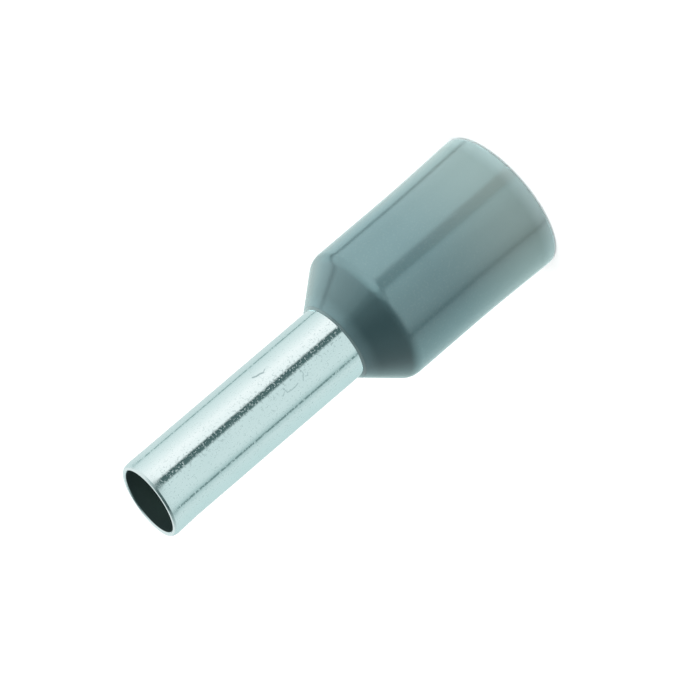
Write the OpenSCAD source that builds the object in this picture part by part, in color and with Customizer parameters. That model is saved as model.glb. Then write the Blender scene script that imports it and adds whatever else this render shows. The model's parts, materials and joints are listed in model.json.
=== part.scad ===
// Insulated wire ferrule for 2.5 mm2 stranded wire. A drawn and tinned copper tube takes the
// bare strands. Its inner end is flared, and the flare sits in a moulded plastic collar that
// takes the end of the wire's insulation.
//
// Millimetres. The collar's open rim stands on Z = 0, both pieces are round about Z, and the
// tube's mouth is up. Both are turned from one cross-section each, drawn as radius and height.

/* [Tube] */
// Height of the middle of the mouth above the collar's open rim
overall_length = 15; // [13:0.5:24]
// Outside diameter of the tube
tube_od = 2.55; // [2.2:0.05:2.9]
// Wall of the tube and of its flare
tube_wall = 0.175; // [0.12:0.005:0.25]
// Length of tube that the collar grips, above the root of the flare
grip_length = 1; // [0.6:0.1:1.4]
// Slope of the flare and of its seat, measured from the axis
flare_angle = 45; // [35:1:55]
// Bend radius at the root of the flare, on the collar's side
flare_bend = 0.3; // [0.15:0.05:0.5]
// Space left between the edge of the flare and the bore for the insulation
flare_space = 0.15; // [0.05:0.05:0.25]
// Angle by which the mouth is cut out of square
mouth_skew = 4.5; // [0:0.5:6]
// Bevel on both edges of the mouth
mouth_bevel = 0.05; // [0.02:0.01:0.05]

/* [Collar] */
// Length of the collar, from its open rim to the end of its lip
collar_length = 7.35; // [6.6:0.05:9]
// Diameter of the bore that takes the wire's insulation
collar_bore = 4.2; // [4:0.05:5]
// Wall of the collar round that bore, below the shoulder
collar_wall = 0.27; // [0.2:0.005:0.4]
// How far the open rim stands out past the straight wall
rim_flare = 0.07; // [0.04:0.005:0.15]
// Height from the rim at which the flared wall would meet the straight one
rim_flare_height = 2.6; // [2:0.1:3.2]
// Length over which the flared wall blends into the straight one, to each side of that height
rim_flare_blend = 0.8; // [0.4:0.1:1.2]
// Round on both edges of the open rim
rim_round = 0.12; // [0.05:0.01:0.15]
// Slope of the shoulder, measured from the axis
shoulder_angle = 38; // [34:1:44]
// Round where the straight wall turns into the shoulder
shoulder_round = 0.6; // [0.3:0.1:1.2]
// Wall of the lip where the collar ends on the tube
lip_wall = 0.07; // [0.05:0.01:0.12]
// Length of the straight lip past the round at the foot of the shoulder
lip_length = 0.08; // [0.05:0.01:0.3]
// Round at the foot of the shoulder
lip_fillet = 0.2; // [0.1:0.05:0.3]
// Round on the outer edge of the lip
lip_round = 0.03; // [0.01:0.005:0.04]

/* [Fit] */
// Radial clearance between the tube and the collar
tube_fit = 0.01; // [0.005:0.005:0.03]

/* [Hidden] */
$fa = 0.5;
$fs = 0.05;

tube_r = tube_od / 2;
tube_bore_r = tube_r - tube_wall;
bore_r = collar_bore / 2;
wall_r = bore_r + collar_wall;
rim_r = wall_r + rim_flare;
lip_bore_r = tube_r + tube_fit;
lip_r = lip_bore_r + lip_wall;

// Corners of the sections, as [radius, height]
flare_root = [tube_r, collar_length - grip_length];
flare_edge = flare_root + along_flare((bore_r - flare_space - tube_r) / sin(flare_angle));
seat_root = [lip_bore_r, flare_root.y + miter(tube_fit)];
seat_edge = seat_root + along_flare((bore_r - lip_bore_r) / sin(flare_angle));
shoulder_foot = [lip_r, collar_length - lip_length - lip_fillet * tan(shoulder_angle / 2)];
shoulder_top = [wall_r, shoulder_foot.y - (wall_r - lip_r) / tan(shoulder_angle)];
flare_start = [wall_r, rim_flare_height];
rim_edge = [rim_r, 0];
rim_blend_r = rim_flare_blend / tan(atan(rim_flare / rim_flare_height) / 2);

// Blank left above the mouth for the skewed cut, and the reach of the cut past the walls
cut_height = 0.5;
cut_reach = 0.3;

// How far a corner's sliver reaches past the corner, and how far its round reaches past its
// sides, so that the outlines cross and never just touch
overlap = 0.02;
bite = 0.0002;

// The way down and out along the flare, for a distance d
function along_flare(d) = d * [sin(flare_angle), -cos(flare_angle)];

// How far a corner of the flare moves along the axis when its walls are moved out by w
function miter(w) = w * tan(flare_angle / 2);

// The sliver between the corner at p, whose sides run towards a and b, and a round of radius r
module corner(p, a, b, r) {
    side_a = (a - p) / norm(a - p);
    side_b = (b - p) / norm(b - p);
    middle = (side_a + side_b) / norm(side_a + side_b);
    half = acos(side_a * side_b) / 2;
    reach = r / tan(half);
    difference() {
        polygon([p - middle * overlap, p + side_a * reach, p + side_b * reach]);
        translate(p + middle * r / sin(half)) circle(r + bite);
    }
}

// Wall of the tube with its flare, up to the blank end above the mouth
module tube_section() {
    top = overall_length + cut_height;
    inner_root = flare_root - [tube_wall, miter(tube_wall)];
    inner_edge = flare_edge - tube_wall * [cos(flare_angle), sin(flare_angle)];
    difference() {
        union() {
            polygon([
                [tube_bore_r, top], inner_root, inner_edge,
                flare_edge, flare_root, [tube_r, top]
            ]);
            corner(flare_root, flare_edge, [tube_r, top], flare_bend);
        }
        corner(inner_root, inner_edge, [tube_bore_r, top], flare_bend + tube_wall);
    }
}

// What the cut takes off the end of the tube: a ring with a bevelled groove for the wall
module mouth_cut() {
    reach = mouth_bevel + cut_reach;
    translate([0, 0, overall_length]) rotate([0, mouth_skew, 0]) rotate_extrude()
        polygon([
            [tube_bore_r - cut_reach, 2 * cut_height],
            [tube_bore_r - cut_reach, -reach],
            [tube_bore_r + mouth_bevel, 0],
            [tube_r - mouth_bevel, 0],
            [tube_r + cut_reach, -reach],
            [tube_r + cut_reach, 2 * cut_height]
        ]);
}

module metal_tube() {
    color([0.80, 0.88, 0.89]) difference() {
        rotate_extrude() tube_section();
        mouth_cut();
    }
}

// Outside of the collar, filled to the axis
module collar_outline() {
    lip_end = [lip_r, collar_length];
    difference() {
        union() {
            polygon([
                [0, 0], rim_edge, flare_start, shoulder_top,
                shoulder_foot, lip_end, [0, collar_length]
            ]);
            corner(flare_start, rim_edge, shoulder_top, rim_blend_r);
            corner(shoulder_foot, shoulder_top, lip_end, lip_fillet);
        }
        corner(rim_edge, [0, 0], flare_start, rim_round);
        corner(shoulder_top, flare_start, shoulder_foot, shoulder_round);
        corner(lip_end, shoulder_foot, [0, collar_length], lip_round);
    }
}

// Hollow of the collar: the bore for the insulation, the seat of the flare and the lip's bore
module collar_hollow() {
    rim_inside = [bore_r, 0];
    lip_top = [lip_bore_r, collar_length];
    polygon([
        [0, 0], rim_inside, seat_edge, seat_root,
        lip_top, [0, collar_length]
    ]);
    corner(rim_inside, seat_edge, rim_edge, rim_round);
    corner(seat_root, seat_edge, lip_top, flare_bend - tube_fit);
}

module plastic_collar() {
    color([0.51, 0.62, 0.63]) rotate_extrude() difference() {
        collar_outline();
        collar_hollow();
    }
}

metal_tube();
plastic_collar();
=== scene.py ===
import json
import math

import bmesh
import bpy
from mathutils import Matrix, Vector


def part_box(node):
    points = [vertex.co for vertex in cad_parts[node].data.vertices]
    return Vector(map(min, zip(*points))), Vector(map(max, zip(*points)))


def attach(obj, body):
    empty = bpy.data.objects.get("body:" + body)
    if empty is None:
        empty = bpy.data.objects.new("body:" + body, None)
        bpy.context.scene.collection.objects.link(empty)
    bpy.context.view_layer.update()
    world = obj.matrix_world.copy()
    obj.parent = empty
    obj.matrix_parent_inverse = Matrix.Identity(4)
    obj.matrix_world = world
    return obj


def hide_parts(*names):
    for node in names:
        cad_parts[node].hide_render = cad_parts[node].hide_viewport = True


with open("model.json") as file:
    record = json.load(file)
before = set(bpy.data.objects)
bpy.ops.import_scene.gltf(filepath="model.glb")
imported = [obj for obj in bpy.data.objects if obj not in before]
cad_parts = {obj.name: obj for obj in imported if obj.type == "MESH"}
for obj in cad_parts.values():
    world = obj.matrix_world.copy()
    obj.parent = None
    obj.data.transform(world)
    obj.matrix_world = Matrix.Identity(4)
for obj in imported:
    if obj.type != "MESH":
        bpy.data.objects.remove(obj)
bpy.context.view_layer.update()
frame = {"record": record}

# ---------------------------------------------------------------------------------------------
# Metal tube: copper drawn to a thin tube, cut off a little out of square and tinned bright. Its
# inner end is flared like a small funnel and sits in the collar; nothing else holds it.
# ---------------------------------------------------------------------------------------------
MM = 0.001
mounts = {mount["name"]: mount["dims"] for mount in frame["record"]["mounts"]}
tube_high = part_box("metal_tube")[1]

# Sizes in millimetres, from the record and the frame where they give them
tube_r = mounts["tube_outside"]["r_mm"]
tube_bore_r = mounts["tube_bore"]["r_mm"]
tube_wall = tube_r - tube_bore_r
collar_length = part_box("plastic_collar")[1].z / MM
grip_length = 1.0
flare_root_z = collar_length - grip_length
flare_edge_r = tube_high.x / MM
flare_angle = math.radians(45)
flare_bend = 0.3
flare_edge_round = 0.02
mouth_skew = math.radians(4.5)
mouth_bevel = 0.05
mouth_round = 0.012
mouth_z = tube_high.z / MM - (tube_r - mouth_bevel) * math.sin(mouth_skew)
burnish_depth, burnish_top, burnish_length = 0.006, 0.16, 0.20


def rounded(corners, steps):
    """Points of a section: corners are (radius, height, round), and each round becomes an arc."""
    points = []
    for i, (r, z, bend) in enumerate(corners):
        here = Vector((r, z))
        if bend == 0:
            points.append(here)
            continue
        back = (Vector(corners[i - 1][:2]) - here).normalized()
        ahead = (Vector(corners[(i + 1) % len(corners)][:2]) - here).normalized()
        half = back.angle(ahead) / 2
        middle = (back + ahead).normalized()
        centre = here + middle * bend / math.sin(half)
        first = here + back * bend / math.tan(half) - centre
        last = here + ahead * bend / math.tan(half) - centre
        sweep = first.angle_signed(last)
        for k in range(steps + 1):
            turn = Matrix.Rotation(-sweep * k / steps, 2)
            points.append(centre + turn @ first)
    return points


def divided(points, longest):
    """The same closed outline with no side longer than this."""
    fine = []
    for i, here in enumerate(points):
        ahead = points[(i + 1) % len(points)]
        cuts = max(1, math.ceil((ahead - here).length / longest))
        fine += [here.lerp(ahead, k / cuts) for k in range(cuts)]
    return fine


def placed(name, data):
    """A new object in the scene, at the frame's origin."""
    made = bpy.data.objects.new(name, data)
    bpy.context.scene.collection.objects.link(made)
    return made


def turned(name, section, around, settle=None):
    """A closed ring of metal or plastic turned from its section, in metres, shaded smooth."""
    mesh = bpy.data.meshes.new(name)
    form = bmesh.new()
    rings = []
    for k in range(around):
        angle = 2 * math.pi * k / around
        ring = []
        for point in section:
            x, y, z = point.x * math.cos(angle), point.x * math.sin(angle), point.y
            if settle:
                x, z = settle(x, z)
            ring.append(form.verts.new((x * MM, y * MM, z * MM)))
        rings.append(ring)
    for k in range(around):
        ring, beside = rings[k], rings[(k + 1) % around]
        for i in range(len(section)):
            j = (i + 1) % len(section)
            form.faces.new((ring[i], beside[i], beside[j], ring[j]))
    bmesh.ops.recalc_face_normals(form, faces=form.faces)
    form.to_mesh(mesh)
    form.free()
    mesh.shade_smooth()
    mesh.set_sharp_from_angle(angle=math.radians(32))
    return placed(name, mesh)


def cut_off(x, z):
    """The tube's end as the cutter leaves it: skewed, and spread a little where it is highest.

    The skew comes in from 1.2 to 0.4 mm below the mouth, and the spread from 0.9 to 0.1 mm.
    """
    skewed = min(max((z - mouth_z + 1.2) / 0.8, 0), 1)
    spread = min(max((z - mouth_z + 0.9) / 0.8, 0), 1)
    return x + (0.020 * x / tube_r - 0.015) * spread, z - x * math.tan(mouth_skew) * skewed


flare_reach = (flare_edge_r - tube_r) / math.tan(flare_angle)
flare_edge = Vector((flare_edge_r, flare_root_z - flare_reach))
inner_edge = flare_edge - tube_wall * Vector((math.cos(flare_angle), math.sin(flare_angle)))
inner_root_z = flare_root_z - tube_wall * math.tan(flare_angle / 2)

# Towards the mouth the wall is rubbed in a little, and the edge there is rounded on both sides
burnish = [
    (tube_r - burnish_depth * k * k, mouth_z - burnish_top - burnish_length * (1 - k), 0)
    for k in (0, 0.25, 0.5, 0.75, 1)
]
mouth_r = tube_r - burnish_depth
tube_section = rounded([
    (tube_r, flare_root_z, flare_bend),
    *burnish,
    (mouth_r - 0.016, mouth_z - 0.070, 0.06),
    (mouth_r - 0.040, mouth_z - 0.024, 0.02),
    (mouth_r - 0.056, mouth_z, mouth_round),
    (tube_bore_r + 0.030, mouth_z, mouth_round),
    (tube_bore_r, mouth_z - 0.035, mouth_round),
    (tube_bore_r, inner_root_z, flare_bend + tube_wall),
    (*inner_edge, flare_edge_round),
    (*flare_edge, flare_edge_round),
], steps=6)
tube_section = divided(tube_section, longest=0.12)
metal_tube = turned("bright_tube", tube_section, around=288, settle=cut_off)


class Sheet:
    """A node tree to which nodes are added by kind, with their settings, inputs and links."""

    def __init__(self, tree):
        self.tree = tree

    def feed(self, socket, value):
        """Link what another node puts out to the socket, or set the socket to a plain value."""
        if isinstance(value, bpy.types.NodeSocket):
            self.tree.links.new(value, socket)
        else:
            socket.default_value = value

    def add(self, kind, settings=None, **inputs):
        """A node: inputs are named as its sockets are, with _ for a space, or numbered as _0."""
        node = self.tree.nodes.new(kind)
        for name, value in (settings or {}).items():
            setattr(node, name, value)
        for name, value in inputs.items():
            key = int(name[1:]) if name[0] == "_" else name.replace("_", " ")
            self.feed(node.inputs[key], value)
        return node

    def math(self, operation, *values, clamp=False):
        """Plain maths, on numbers."""
        node = self.add("ShaderNodeMath", {"operation": operation, "use_clamp": clamp})
        for socket, value in zip(node.inputs, values):
            self.feed(socket, value)
        return node.outputs[0]

    def vector(self, operation, *values, **scale):
        """Vector maths; a dot product or a distance comes out as a plain number."""
        node = self.add("ShaderNodeVectorMath", {"operation": operation}, **scale)
        for socket, value in zip(node.inputs, values):
            self.feed(socket, value)
        return node.outputs["Value" if operation in ("DOT_PRODUCT", "DISTANCE") else "Vector"]

    def span(self, value, low, high, to_low=0.0, to_high=1.0):
        """From to_low to to_high as the value goes from low to high, eased and held at the ends."""
        node = self.add(
            "ShaderNodeMapRange", {"interpolation_type": "SMOOTHSTEP"},
            Value=value, From_Min=low, From_Max=high, To_Min=to_low, To_Max=to_high,
        )
        return node.outputs[0]

    def blend(self, share, first, second):
        """The first colour, turning into the second as the share goes from 0 to 1."""
        node = self.add("ShaderNodeMix", {"data_type": "RGBA"}, _0=share, _6=first, _7=second)
        return node.outputs[2]


def new_group(name, inputs, outputs):
    """A node group's sheet, what comes in and what goes out: inputs are (name, kind, value)."""
    group = bpy.data.node_groups.new(name, "ShaderNodeTree")
    for label, kind, value in inputs:
        socket = group.interface.new_socket(label, in_out="INPUT", socket_type="NodeSocket" + kind)
        if value is not None:
            socket.default_value = value
    for label, kind in outputs:
        group.interface.new_socket(label, in_out="OUTPUT", socket_type="NodeSocket" + kind)
    sheet = Sheet(group)
    return sheet, sheet.add("NodeGroupInput").outputs, sheet.add("NodeGroupOutput").inputs


def finish_named(name):
    """A new material with its node sheet, its Principled shader and the place on it in mm."""
    material = bpy.data.materials.new(name)
    material.use_nodes = True
    sheet = Sheet(material.node_tree)
    place = sheet.add("ShaderNodeTexCoord").outputs["Object"]
    place = sheet.vector("SCALE", place, Scale=1 / MM)
    return material, sheet, material.node_tree.nodes["Principled BSDF"], place


# Fine grain that both finishes have: specks of one size, softened, and slow clouds under them
grain, grain_in, grain_out = new_group(
    "fine_grain",
    [("Place", "Vector", None), ("Grains per mm", "Float", 10.0), ("Cover", "Float", 0.5)],
    [("Specks", "Float"), ("Clouds", "Float"), ("Height", "Float")],
)
grain_noise = grain.add(
    "ShaderNodeTexNoise", Vector=grain_in["Place"], Scale=grain_in["Grains per mm"],
    Detail=2.0, Roughness=0.6,
).outputs[0]
grain_clouds = grain.add(
    "ShaderNodeTexNoise", Vector=grain_in["Place"], Scale=0.9, Detail=3.0, Roughness=0.55,
).outputs[0]
grain_edge = grain.math("SUBTRACT", 1.0, grain_in["Cover"])
grain_top = grain.math("ADD", grain_edge, 0.10)
grain.feed(grain_out["Specks"], grain.span(grain_noise, grain_edge, grain_top))
grain.feed(grain_out["Clouds"], grain_clouds)
grain.feed(grain_out["Height"], grain_noise)

tin, tin_sheet, tin_shader, tin_place = finish_named("bright_tin")
tin_grain = tin_sheet.add(
    "ShaderNodeGroup", {"node_tree": grain.tree}, Place=tin_place, Grains_per_mm=16.0, Cover=0.46,
).outputs
tin_x, tin_y, tin_z = tin_sheet.add("ShaderNodeSeparateXYZ", Vector=tin_place).outputs
tin_tone_and_bore_shade = tin_sheet.blend(tin_grain["Clouds"], (0.82, 0.93, 0.93, 1), (0.92, 1.0, 1.0, 1))

# The specks are dull spots in the bright tin. At the mouth it is rubbed: few specks, a soft haze.
tin_end = tin_sheet.math("MULTIPLY_ADD", tin_x, math.tan(mouth_skew), tin_z)
tin_end = tin_sheet.span(tin_end, mouth_z - 0.42, mouth_z - 0.16)
tin_specks = tin_sheet.math("MULTIPLY_ADD", tin_end, -0.8, 1.0)
tin_specks = tin_sheet.math("MULTIPLY", tin_grain["Specks"], tin_specks)
tin_dull = tin_sheet.math("MULTIPLY", tin_specks, 0.11)
tin_tone_and_bore_shade = tin_sheet.blend(tin_dull, tin_tone_and_bore_shade, (0.68, 0.79, 0.79, 1))

# Inside the bore, where the wall faces the axis, the tin shines little and its colour is painted
# shade: darkest near the mouth, paler deeper in
tin_normal = tin_sheet.add("ShaderNodeNewGeometry").outputs["Normal"]
tin_outward = tin_sheet.add("ShaderNodeCombineXYZ", X=tin_x, Y=tin_y).outputs[0]
tin_outward = tin_sheet.vector("NORMALIZE", tin_outward)
tin_inside = tin_sheet.vector("DOT_PRODUCT", tin_normal, tin_outward)
tin_inside = tin_sheet.span(tin_inside, -0.80, -0.95)
tin_depth = tin_sheet.span(tin_z, mouth_z - 0.05, mouth_z - 0.9)
tin_bore_shade = tin_sheet.blend(tin_depth, (0.052, 0.094, 0.090, 1), (0.185, 0.31, 0.285, 1))
tin_tone_and_bore_shade = tin_sheet.blend(tin_inside, tin_tone_and_bore_shade, tin_bore_shade)

# One straight step of a scratch: the mark is 1 on the step and fades out over the width
step, step_in, step_out = new_group(
    "scratch_step",
    [("Wall", "Vector", None), ("Start", "Vector", None), ("Step", "Vector", None),
     ("Width", "Float", 0.02)],
    [("Mark", "Float")],
)
step_from = step.vector("SUBTRACT", step_in["Wall"], step_in["Start"])
step_along = step.vector("DOT_PRODUCT", step_from, step_in["Step"])
step_square = step.vector("DOT_PRODUCT", step_in["Step"], step_in["Step"])
step_share = step.math("DIVIDE", step_along, step_square, clamp=True)
step_near = step.vector("SCALE", step_in["Step"], Scale=step_share)
step_gap = step.vector("DISTANCE", step_from, step_near)
step.feed(step_out["Mark"], step.span(step_gap, step_in["Width"], 0.0))

# Fine scratches from handling. Each starts at an arc, in mm round the wall from -Y towards +X,
# and at a height, and goes by steps of one stride, turning by each of its bends in degrees.
wall_arc = tin_sheet.math("ARCTAN2", tin_x, tin_sheet.math("MULTIPLY", tin_y, -1.0))
wall_arc = tin_sheet.math("MULTIPLY", wall_arc, tube_r)
wall_place = tin_sheet.add("ShaderNodeCombineXYZ", X=wall_arc, Y=tin_z).outputs[0]
tin_marks = 0.0
for arc, height, aim, bends, stride, width, depth in (
    (0.86, 10.26, -118, (0, 22, -18), 0.12, 0.052, 1.0),
    (0.75, 9.91, -62, (0,), 0.12, 0.036, 0.70),
    (-0.08, 9.84, 190, (0, 70, 10, 12), 0.15, 0.032, 0.60),
    (-0.27, 9.18, -35, (0, -10, 45), 0.11, 0.032, 0.52),
    (-0.20, 9.05, -110, (0, 70), 0.09, 0.030, 0.42),
    (-0.23, 10.00, -60, (0,), 0.13, 0.032, 0.42),
    (0.13, 9.55, 100, (0,), 0.13, 0.030, 0.32),
    (-0.33, 10.55, 200, (0, 40), 0.06, 0.034, 0.34),
):
    for bend in bends:
        aim += bend
        stroke = (stride * math.cos(math.radians(aim)), stride * math.sin(math.radians(aim)), 0)
        mark = tin_sheet.add(
            "ShaderNodeGroup", {"node_tree": step.tree},
            Wall=wall_place, Start=(arc, height, 0), Step=stroke, Width=width,
        ).outputs["Mark"]
        mark = tin_sheet.math("MULTIPLY", mark, depth)
        tin_marks = tin_sheet.math("MAXIMUM", tin_marks, mark)
        arc, height = arc + stroke[0], height + stroke[1]
tin_tone_and_bore_shade = tin_sheet.blend(tin_marks, tin_tone_and_bore_shade, (0.40, 0.50, 0.51, 1))

tin_rough = tin_sheet.math("MULTIPLY_ADD", tin_specks, 0.36, 0.06)
tin_rough = tin_sheet.math("MULTIPLY_ADD", tin_inside, 0.40, tin_rough)
tin_rough = tin_sheet.math("MULTIPLY_ADD", tin_end, 0.18, tin_rough)
tin_metal = tin_sheet.math("MULTIPLY_ADD", tin_inside, -1.0, 1.0)
tin_bump = tin_sheet.add("ShaderNodeBump", Strength=0.5, Distance=2e-6, Height=tin_grain["Height"])
tin_sheet.feed(tin_shader.inputs["Base Color"], tin_tone_and_bore_shade)
tin_sheet.feed(tin_shader.inputs["Roughness"], tin_rough)
tin_sheet.feed(tin_shader.inputs["Metallic"], tin_metal)
tin_sheet.feed(tin_shader.inputs["Normal"], tin_bump.outputs[0])
metal_tube.data.materials.append(tin)
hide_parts("metal_tube")
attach(metal_tube, "root")

# ---------------------------------------------------------------------------------------------
# Plastic collar: one moulding in grey plastic, pushed over the tube from the mouth end until its
# seat meets the flare. The wire's insulation goes into its open end, on which it stands here.
# ---------------------------------------------------------------------------------------------
insulation_r = mounts["insulation_bore"]["r_mm"]
wall_r = insulation_r + 0.27
rim_flare, rim_flare_height, rim_flare_blend = 0.07, 2.6, 0.8
rim_r = wall_r + rim_flare
rim_bend = rim_flare_blend / math.tan(math.atan(rim_flare / rim_flare_height) / 2)
rim_round = 0.12
shoulder_angle = math.radians(38)
shoulder_round = 0.6
tube_fit = 0.01
seat_r = tube_r + tube_fit
seat_root_z = flare_root_z + tube_fit * math.tan(flare_angle / 2)
seat_edge_z = seat_root_z - (insulation_r - seat_r) / math.tan(flare_angle)

# The shoulder's slope runs on to a thin end on the tube
end_r, end_z = 1.38, collar_length - 0.175
shoulder_top_z = end_z - (wall_r - end_r) / math.tan(shoulder_angle)
collar_section = rounded([
    (insulation_r, 0, rim_round),
    (rim_r, 0, rim_round),
    (wall_r, rim_flare_height, rim_bend),
    (wall_r, shoulder_top_z, shoulder_round),
    (end_r, end_z - 0.02, 0.05),
    (tube_r + 0.003, end_z + 0.04, 0),
    (seat_r, end_z - 0.1, 0),
    (seat_r, seat_root_z, flare_bend - tube_fit),
    (insulation_r, seat_edge_z, 0),
], steps=16)
collar_section = divided(collar_section, longest=0.25)
plastic_collar = turned("grey_collar", collar_section, around=320)

# The grey carries painted shade and light by height: painted shade darkens the shoulder, and
# painted light pales the wall towards the open rim, the foot of the rim, the thin end on the tube
# and that end's edge.
grey, grey_sheet, grey_shader, grey_place = finish_named("grey_plastic")
grey_grain = grey_sheet.add(
    "ShaderNodeGroup", {"node_tree": grain.tree}, Place=grey_place, Grains_per_mm=14.0, Cover=0.45,
).outputs
grey_tone_and_painted_light = grey_sheet.blend(
    grey_grain["Clouds"], (0.080, 0.148, 0.160, 1), (0.090, 0.162, 0.176, 1)
)
grey_mottle = grey_sheet.math("MULTIPLY", grey_grain["Specks"], 0.45)
grey_tone_and_painted_light = grey_sheet.blend(grey_mottle, grey_tone_and_painted_light, (0.115, 0.180, 0.188, 1))
grey_height = grey_sheet.add("ShaderNodeSeparateXYZ", Vector=grey_place).outputs[2]
for low, high, colour in (
    (4.4, 0.4, (0.195, 0.262, 0.250, 1)),  # painted light: the wall, paler down to the rim
    (5.75, 6.2, (0.066, 0.128, 0.140, 1)),  # painted shade: the shoulder
    (end_z - 0.42, end_z, (0.148, 0.250, 0.270, 1)),  # painted light: the shoulder's thin end
    (end_z - 0.03, end_z + 0.01, (0.30, 0.44, 0.46, 1)),  # painted light: the edge of that end
    (0.60, 0.0, (0.37, 0.47, 0.47, 1)),  # painted light: the foot of the rim
):
    grey_tone_and_painted_light = grey_sheet.blend(grey_sheet.span(grey_height, low, high), grey_tone_and_painted_light, colour)
grey_rough = grey_sheet.math("MULTIPLY_ADD", grey_grain["Specks"], 0.04, 0.16)
grey_bump = grey_sheet.add(
    "ShaderNodeBump", Strength=0.3, Distance=2e-6, Height=grey_grain["Height"]
)
grey_sheet.feed(grey_shader.inputs["Base Color"], grey_tone_and_painted_light)
grey_sheet.feed(grey_shader.inputs["Roughness"], grey_rough)
grey_sheet.feed(grey_shader.inputs["Normal"], grey_bump.outputs[0])
grey_shader.inputs["IOR"].default_value = 1.5
plastic_collar.data.materials.append(grey)
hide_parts("plastic_collar")
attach(plastic_collar, "root")

# ---------------------------------------------------------------------------------------------
# Stage: a plain pale floor under the rim, and a white room with soft lamps low round the piece.
# The gloss sees the room through the floor: broad white light with a few dark gaps between.
# ---------------------------------------------------------------------------------------------
floor_mesh = bpy.data.meshes.new("pale_floor")
floor_form = bmesh.new()
bmesh.ops.create_circle(floor_form, cap_ends=True, segments=96, radius=0.35)
floor_form.to_mesh(floor_mesh)
floor_form.free()
floor = placed("pale_floor", floor_mesh)
floor.location.z = -0.01 * MM
floor.visible_glossy = False

pale = bpy.data.materials.new("pale_floor")
pale.use_nodes = True
pale_sheet = Sheet(pale.node_tree)
pale_shader = pale.node_tree.nodes["Principled BSDF"]
pale_shader.inputs["Base Color"].default_value = (0.82, 0.82, 0.82, 1)
pale_shader.inputs["Roughness"].default_value = 0.9
pale_shader.inputs["Specular IOR Level"].default_value = 0.0
pale_shader.inputs["Emission Color"].default_value = (1, 1, 1, 1)

# The floor glows a little to the camera alone, so that the shadow on it stays faint
pale_glow = pale_sheet.add("ShaderNodeLightPath").outputs["Is Camera Ray"]
pale_glow = pale_sheet.math("MULTIPLY", pale_glow, 0.2)
pale_sheet.feed(pale_shader.inputs["Emission Strength"], pale_glow)
floor_mesh.materials.append(pale)

room = bpy.data.worlds.new("white_room")
bpy.context.scene.world = room
room.use_nodes = True
room.cycles.sampling_method = "NONE"
room.node_tree.nodes.clear()
walls = Sheet(room.node_tree)


def heading_at(degrees):
    """The heading, 0 to 1 in a full turn, that lies so many degrees to the right of -Y."""
    return degrees / 360 + 0.5


def heading_on(sheet, toward):
    """The heading of a direction or place, as heading_at gives it, and its height."""
    x, y, z = sheet.add("ShaderNodeSeparateXYZ", Vector=toward).outputs
    back = [sheet.math("MULTIPLY", part, -1.0) for part in (x, y)]
    return sheet.math("MULTIPLY_ADD", sheet.math("ARCTAN2", *back), 0.5 / math.pi, 0.5), z


def by_heading(sheet, heading, stops, colour):
    """Light by heading: stops are (degrees, brightness), and colour gives each its three parts."""
    node = sheet.add("ShaderNodeValToRGB", Fac=heading)
    elements = node.color_ramp.elements
    while len(elements) < len(stops):
        elements.new(1.0)
    for element, (degrees, value) in zip(elements, stops):
        element.position = heading_at(degrees)
        element.color = (*colour(degrees, value), 1)
    return node.outputs[0]


def low_colour(degrees, value):
    """The room's light is cool, more so where it is dim and at its far right."""
    return value ** (1.2 + 0.45 * value + 0.16 * (degrees > 100)), value, value


def high_colour(degrees, value):
    """Higher up, the light is cool where it is dim."""
    return value ** 1.25, value, value


heading, rise = heading_on(walls, walls.add("ShaderNodeTexCoord").outputs["Generated"])
low_room = by_heading(walls, heading, [
    (-180, 0.80), (-150, 0.77), (-126, 0.73), (-121, 0.68), (-119, 0.35), (-117, 0.32),
    (-114.5, 0.70), (-104, 0.79), (-91, 0.83), (-75, 0.905), (-57, 0.99), (-40, 0.96),
    (-30.8, 0.93), (-25.8, 0.12), (-11.5, 0.15), (-6, 0.745), (42, 0.76), (55, 0.72),
    (65.2, 0.54), (68.2, 0.22), (70.2, 0.22), (73.7, 0.62), (88, 0.745), (120, 0.74),
    (150, 0.72), (180, 0.74),
], low_colour)
high_room = by_heading(walls, heading, [
    (-180, 0.85), (-120, 0.85), (-70, 0.80), (-40, 0.50), (-15, 0.12), (50, 0.06), (78, 0.32),
    (105, 0.52), (150, 0.80), (180, 0.85),
], high_colour)
seen_in_gloss = walls.blend(walls.span(rise, 0.12, 0.40), low_room, high_room)
path = walls.add("ShaderNodeLightPath").outputs
in_gloss, plain_light, white_back = (
    walls.add("ShaderNodeBackground", Color=colour, Strength=strength).outputs[0]
    for colour, strength in ((seen_in_gloss, 1.0), ((1, 1, 1, 1), 0.15), ((1, 1, 1, 1), 1.0))
)
lit = walls.add(
    "ShaderNodeMixShader", _0=path["Is Glossy Ray"], _1=plain_light, _2=in_gloss
).outputs[0]
lit = walls.add(
    "ShaderNodeMixShader", _0=path["Is Camera Ray"], _1=lit, _2=white_back
).outputs[0]
walls.add("ShaderNodeOutputWorld", Surface=lit)

# A drum of soft light round the collar, seen only in the collar's gloss
drum_mesh = bpy.data.meshes.new("light_drum")
drum_form = bmesh.new()
drum_sides, drum_radius, drum_ends = 96, 0.03, (-0.04, 0.07)
rims = []
for height in drum_ends:
    rim = bmesh.ops.create_circle(drum_form, segments=drum_sides, radius=drum_radius)["verts"]
    for vert in rim:
        vert.co.z = height
    rims.append(rim)
for k in range(drum_sides):
    ahead = (k + 1) % drum_sides
    drum_form.faces.new((rims[0][k], rims[0][ahead], rims[1][ahead], rims[1][k]))
drum_form.to_mesh(drum_mesh)
drum_form.free()
drum = placed("light_drum", drum_mesh)
drum.visible_camera = drum.visible_diffuse = drum.visible_shadow = drum.visible_transmission = False


def only_on(name, piece):
    """A collection that makes a lamp or a drum shine on this piece alone."""
    lit_alone = bpy.data.collections.new(name)
    lit_alone.objects.link(piece)
    return lit_alone


drum.light_linking.receiver_collection = only_on("collar_only", plastic_collar)

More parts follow.
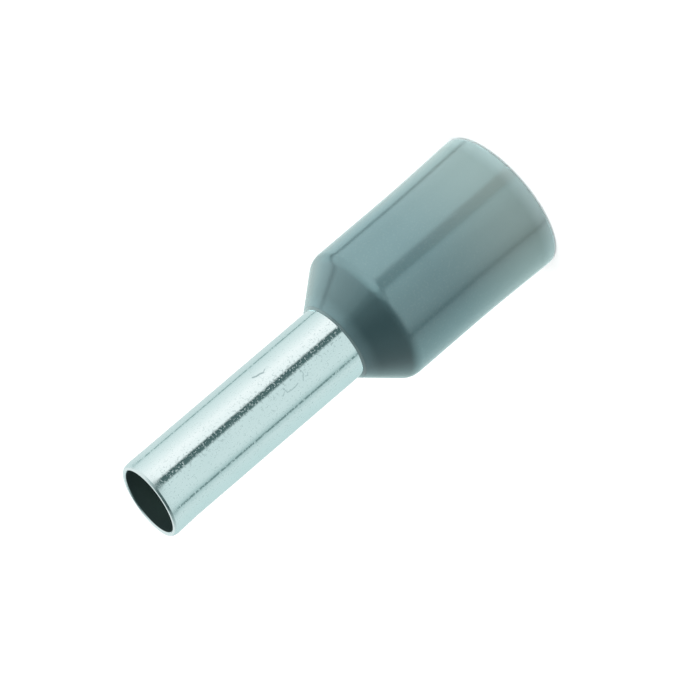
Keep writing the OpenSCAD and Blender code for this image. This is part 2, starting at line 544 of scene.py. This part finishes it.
glow = bpy.data.materials.new("light_drum")
glow.use_nodes = True
glow.cycles.emission_sampling = "NONE"
glow.node_tree.nodes.clear()
cloth = Sheet(glow.node_tree)
cloth_place = cloth.add("ShaderNodeNewGeometry").outputs["Position"]
cloth_heading, cloth_height = heading_on(cloth, cloth_place)


def cloth_colour(degrees, value):
    """The drum's light is cool, most at its far right, and warmer where it goes round behind."""
    behind = min(max((abs(degrees) - 130) / 20, 0), 1)
    red = value * (0.66 + 0.11 * behind - 0.10 * (degrees > 85))
    return red, value, value * (1.03 - 0.06 * behind)


def table_colour(degrees, value):
    """Light that comes off the table is a little warm."""
    return value, value * 0.92, value * 0.80


# The gaps between the lights lean: at the left all the way up, and in front only low down
in_front = cloth.math(
    "MULTIPLY", cloth.span(cloth_heading, heading_at(-70.2), heading_at(-45)),
    cloth.span(cloth_heading, heading_at(60.12), heading_at(29.88)),
)
at_left = cloth.span(cloth_heading, heading_at(-45), heading_at(-70.2))
rise_left = cloth.math("MULTIPLY", cloth.math("MAXIMUM", cloth_height, 0.0), at_left)
rise_front = cloth.math(
    "MULTIPLY", cloth.span(cloth_height, -0.0052, 0.008), cloth.span(cloth_height, 0.040, 0.014)
)
rise_front = cloth.math("MULTIPLY", rise_front, in_front)
leaning = cloth.math("MULTIPLY_ADD", rise_left, -1.1, cloth_heading)
leaning = cloth.math("MULTIPLY_ADD", rise_front, -0.045, leaning)
left_side = by_heading(cloth, leaning, [
    (-180, 0.06), (-151, 0.145), (-137, 0.27), (-131, 0.33), (-117.4, 0.47), (-115.7, 0.08),
    (-111.2, 0.08), (-109.5, 0.56), (-103, 0.60), (-77, 0.82), (-60, 0.93), (-36, 0.90),
    (-32, 0.88), (-29.5, 0.33), (-15, 0.33), (-13.5, 0.0), (180, 0.06),
], cloth_colour)
right_side = by_heading(cloth, leaning, [
    (-180, 0.0), (-14, 0.0), (-11, 0.66), (-4, 0.60), (0, 0.56), (8, 0.49),
    (18, 0.41), (36, 0.37), (46, 0.32), (61, 0.17), (63, 0.02), (69.5, 0.02),
    (71, 0.20), (89, 0.28), (103, 0.27), (131, 0.15), (141, 0.10), (150, 0.05),
    (180, 0.0),
], cloth_colour)
table_glow = by_heading(cloth, cloth_heading, [
    (-180, 0.0), (-116, 0.03), (-108, 0.08), (-31, 0.08), (-28, 0.33), (-14, 0.33), (-11, 0.03),
    (50, 0.02), (70, 0.0), (180, 0.0),
], table_colour)
left_above = by_heading(cloth, cloth_heading, [
    (-180, 0.10), (-150, 0.24), (-125, 0.30), (-108, 0.26), (-92, 0.20), (-75, 0.14),
    (-45, 0.08), (-30, 0.13), (-15, 0.10), (0, 0.10), (14, 0.05), (26, 0.0), (150, 0.0),
    (180, 0.10),
], cloth_colour)
all_light = (0, 0, 0)
for light, low, high, to_low, to_high in (
    (left_side, 0.012, 0.056, 1.0, 0.25),
    (right_side, 0.001, 0.022, 1.0, 0.0),
    (table_glow, -0.0105, -0.006, 1.0, 0.0),
    (left_above, 0.000, 0.014, 0.0, 1.0),
):
    fade = cloth.span(cloth_height, low, high, to_low, to_high)
    all_light = cloth.vector("MULTIPLY_ADD", light, fade, all_light)
shine = cloth.add("ShaderNodeEmission", Color=all_light, Strength=5.0).outputs[0]
clear = cloth.add("ShaderNodeBsdfTransparent").outputs[0]
shine = cloth.add("ShaderNodeAddShader", _0=shine, _1=clear).outputs[0]
cloth.add("ShaderNodeOutputMaterial", Surface=shine)
drum_mesh.materials.append(glow)

middle = Vector((0, 0, 7.5)) * MM


def soft_lamp(name, heading, elevation, distance, size, brightness, only=None):
    """A square softbox aimed at the middle of the piece, of this brightness where it is seen."""
    lamp = bpy.data.lights.new(name, "AREA")
    lamp.size = size
    lamp.energy = 4 * size * size * brightness
    a, e = math.radians(heading), math.radians(elevation)
    back = Vector((-math.sin(a) * math.cos(e), -math.cos(a) * math.cos(e), math.sin(e)))
    holder = placed(name, lamp)
    holder.location = middle + back * distance
    holder.rotation_mode = "QUATERNION"
    holder.rotation_quaternion = back.to_track_quat("Z", "Y")
    holder.visible_glossy = holder.visible_camera = False
    if only:
        holder.light_linking.receiver_collection = only


soft_lamp("soft_left", -35, 6, distance=0.2, size=0.14, brightness=1.35)
soft_lamp("soft_right", 35, 6, distance=0.2, size=0.14, brightness=0.86)
soft_lamp(
    "over_the_floor", 0, 90, distance=0.4, size=0.4, brightness=3.9,
    only=only_on("floor_only", floor),
)

# ---------------------------------------------------------------------------------------------
# Camera: a long lens a little above the piece, turned so that the mouth points down and left.
# ---------------------------------------------------------------------------------------------
elevation, roll = math.radians(20.0), math.radians(130.59)
look_at = Vector((-0.483, 0, 6.95)) * MM
distance = 177.9 * MM
back = Vector((0, -math.cos(elevation), math.sin(elevation)))
side = Vector((1, 0, 0))
above = back.cross(side)
right = side * math.cos(roll) - above * math.sin(roll)
upward = side * math.sin(roll) + above * math.cos(roll)
turn = Matrix((right, upward, back)).transposed().to_4x4()
camera = placed("camera", bpy.data.cameras.new("camera"))
camera.data.lens, camera.data.sensor_width = 300, 36
camera.data.clip_start, camera.data.clip_end = 0.01, 1.0
camera.matrix_world = Matrix.Translation(look_at + back * distance) @ turn
bpy.context.scene.camera = camera
bpy.context.scene.view_settings.view_transform = "Standard"
